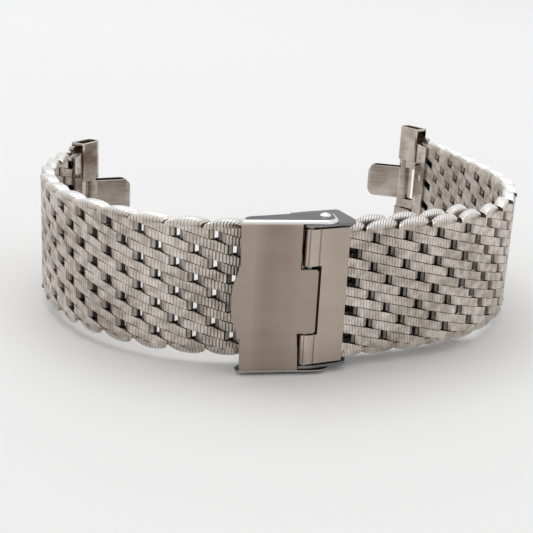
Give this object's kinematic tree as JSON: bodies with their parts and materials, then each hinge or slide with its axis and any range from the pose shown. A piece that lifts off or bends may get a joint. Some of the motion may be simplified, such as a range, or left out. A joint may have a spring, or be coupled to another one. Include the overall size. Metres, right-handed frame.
{
  "type": "mesh watch bracelet",
  "caption": "Open woven mesh bracelet with a lift-up hook clasp and telescoping spring-bar end sleeves.",
  "frame": {"origin": "middle of the bounding box in plan, on the plane that the clasp rivet and lower sleeves stand on", "axes": "+Z across the band's width, X along the front face of the clasp cover, +Y from the clasp towards the spring-bar ends"},
  "size_m": [0.0682, 0.0626, 0.0202],
  "materials": {
    "cover": "brushed along the band",
    "satin": "satin",
    "rivet": "satin",
    "mesh": "satin ribbon wire",
    "polished": "polished"
  },
  "bodies": {
    "frame": {"slider_frame": "satin", "cover_rivet_upper": "rivet", "cover_rivet_lower": "rivet", "catch_bar": "rivet", "mesh_clasp": "mesh"},
    "cover": {"clasp_cover": "cover", "grip_bar": "satin"},
    "hook": {"hook_plate": "cover", "hook_end_pin": "rivet", "mesh_right_1": "mesh"},
    "left_link_1": {"mesh_left_1": "mesh", "left_end_tube": "polished", "left_anchor_pin": "polished", "left_clamp_plate": "polished", "left_tongue": "polished"},
    "left_link_2": {"mesh_left_2": "mesh"},
    "left_link_3": {"mesh_left_3": "mesh"},
    "left_link_4": {"mesh_left_4": "mesh"},
    "left_link_5": {"mesh_left_5": "mesh"},
    "right_link_2": {"mesh_right_2": "mesh"},
    "right_link_3": {"mesh_right_3": "mesh"},
    "right_link_4": {"mesh_right_4": "mesh"},
    "right_link_5": {"mesh_right_5": "mesh"},
    "right_link_6": {"mesh_right_6": "mesh", "right_end_tube": "polished", "right_anchor_pin": "polished", "right_clamp_plate": "polished", "right_tongue": "polished"},
    "tail_link_1": {"mesh_tail_1": "mesh"},
    "tail_link_2": {"mesh_tail_2": "mesh"},
    "left_sleeve_upper_body": {"left_sleeve_upper": "polished"},
    "left_sleeve_lower_body": {"left_sleeve_lower": "polished"},
    "right_sleeve_upper_body": {"right_sleeve_upper": "polished"},
    "right_sleeve_lower_body": {"right_sleeve_lower": "polished"}
  },
  "joints": [
    {"name": "cover_lift", "type": "hinge", "parent": "frame", "child": "cover", "pos_m": [0.00051, -0.02876, 0.01009], "axis": [0, 0, 1], "range_deg": [0, 65]},
    {"name": "hook_turn", "type": "hinge", "parent": "frame", "child": "hook", "pos_m": [-0.00144, -0.03031, 0.01009], "axis": [0, 0, 1], "range_deg": [-8, 0]},
    {"name": "left_turn_5", "type": "hinge", "parent": "frame", "child": "left_link_5", "pos_m": [-0.00998, -0.02698, 0.01009], "axis": [0, 0, 1], "range_deg": [-8, 8]},
    {"name": "left_turn_4", "type": "hinge", "parent": "left_link_5", "child": "left_link_4", "pos_m": [-0.01453, -0.02627, 0.01009], "axis": [0, 0, 1], "range_deg": [-8, 8]},
    {"name": "left_turn_3", "type": "hinge", "parent": "left_link_4", "child": "left_link_3", "pos_m": [-0.02461, -0.02087, 0.01009], "axis": [0, 0, 1], "range_deg": [-8, 8]},
    {"name": "left_turn_2", "type": "hinge", "parent": "left_link_3", "child": "left_link_2", "pos_m": [-0.03108, -0.01145, 0.01009], "axis": [0, 0, 1], "range_deg": [-8, 8]},
    {"name": "left_turn_1", "type": "hinge", "parent": "left_link_2", "child": "left_link_1", "pos_m": [-0.03293, -0.00014, 0.01009], "axis": [0, 0, 1], "range_deg": [-8, 8]},
    {"name": "right_turn_2", "type": "hinge", "parent": "hook", "child": "right_link_2", "pos_m": [0.0136, -0.02573, 0.01009], "axis": [0, 0, 1], "range_deg": [-6, 6]},
    {"name": "right_turn_3", "type": "hinge", "parent": "right_link_2", "child": "right_link_3", "pos_m": [0.02375, -0.02044, 0.01009], "axis": [0, 0, 1], "range_deg": [-8, 8]},
    {"name": "right_turn_4", "type": "hinge", "parent": "right_link_3", "child": "right_link_4", "pos_m": [0.03065, -0.01131, 0.01009], "axis": [0, 0, 1], "range_deg": [-8, 8]},
    {"name": "right_turn_5", "type": "hinge", "parent": "right_link_4", "child": "right_link_5", "pos_m": [0.03295, -0.0001, 0.01009], "axis": [0, 0, 1], "range_deg": [-8, 8]},
    {"name": "right_turn_6", "type": "hinge", "parent": "right_link_5", "child": "right_link_6", "pos_m": [0.03153, 0.01135, 0.01009], "axis": [0, 0, 1], "range_deg": [-8, 8]},
    {"name": "tail_turn_1", "type": "hinge", "parent": "frame", "child": "tail_link_1", "pos_m": [0.00378, -0.02578, 0.01009], "axis": [0, 0, 1], "range_deg": [0, 6]},
    {"name": "tail_turn_2", "type": "hinge", "parent": "tail_link_1", "child": "tail_link_2", "pos_m": [0.01491, -0.02276, 0.01009], "axis": [0, 0, 1], "range_deg": [-6, 6]},
    {"name": "left_sleeve_upper_slide", "type": "slide", "parent": "left_link_1", "child": "left_sleeve_upper_body", "axis": [0, 0, 1], "range_m": [-0.0004, 0.0015]},
    {"name": "left_sleeve_lower_slide", "type": "slide", "parent": "left_link_1", "child": "left_sleeve_lower_body", "axis": [0, 0, -1], "range_m": [-0.0012, 0.001]},
    {"name": "right_sleeve_upper_slide", "type": "slide", "parent": "right_link_6", "child": "right_sleeve_upper_body", "axis": [0, 0, 1], "range_m": [-0.0012, 0.001]},
    {"name": "right_sleeve_lower_slide", "type": "slide", "parent": "right_link_6", "child": "right_sleeve_lower_body", "axis": [0, 0, -1], "range_m": [-0.0012, 0.001]}
  ],
  "couplings": [
    {"joint": "tail_turn_2", "follows": "right_turn_2", "ratio": 1}
  ]
}
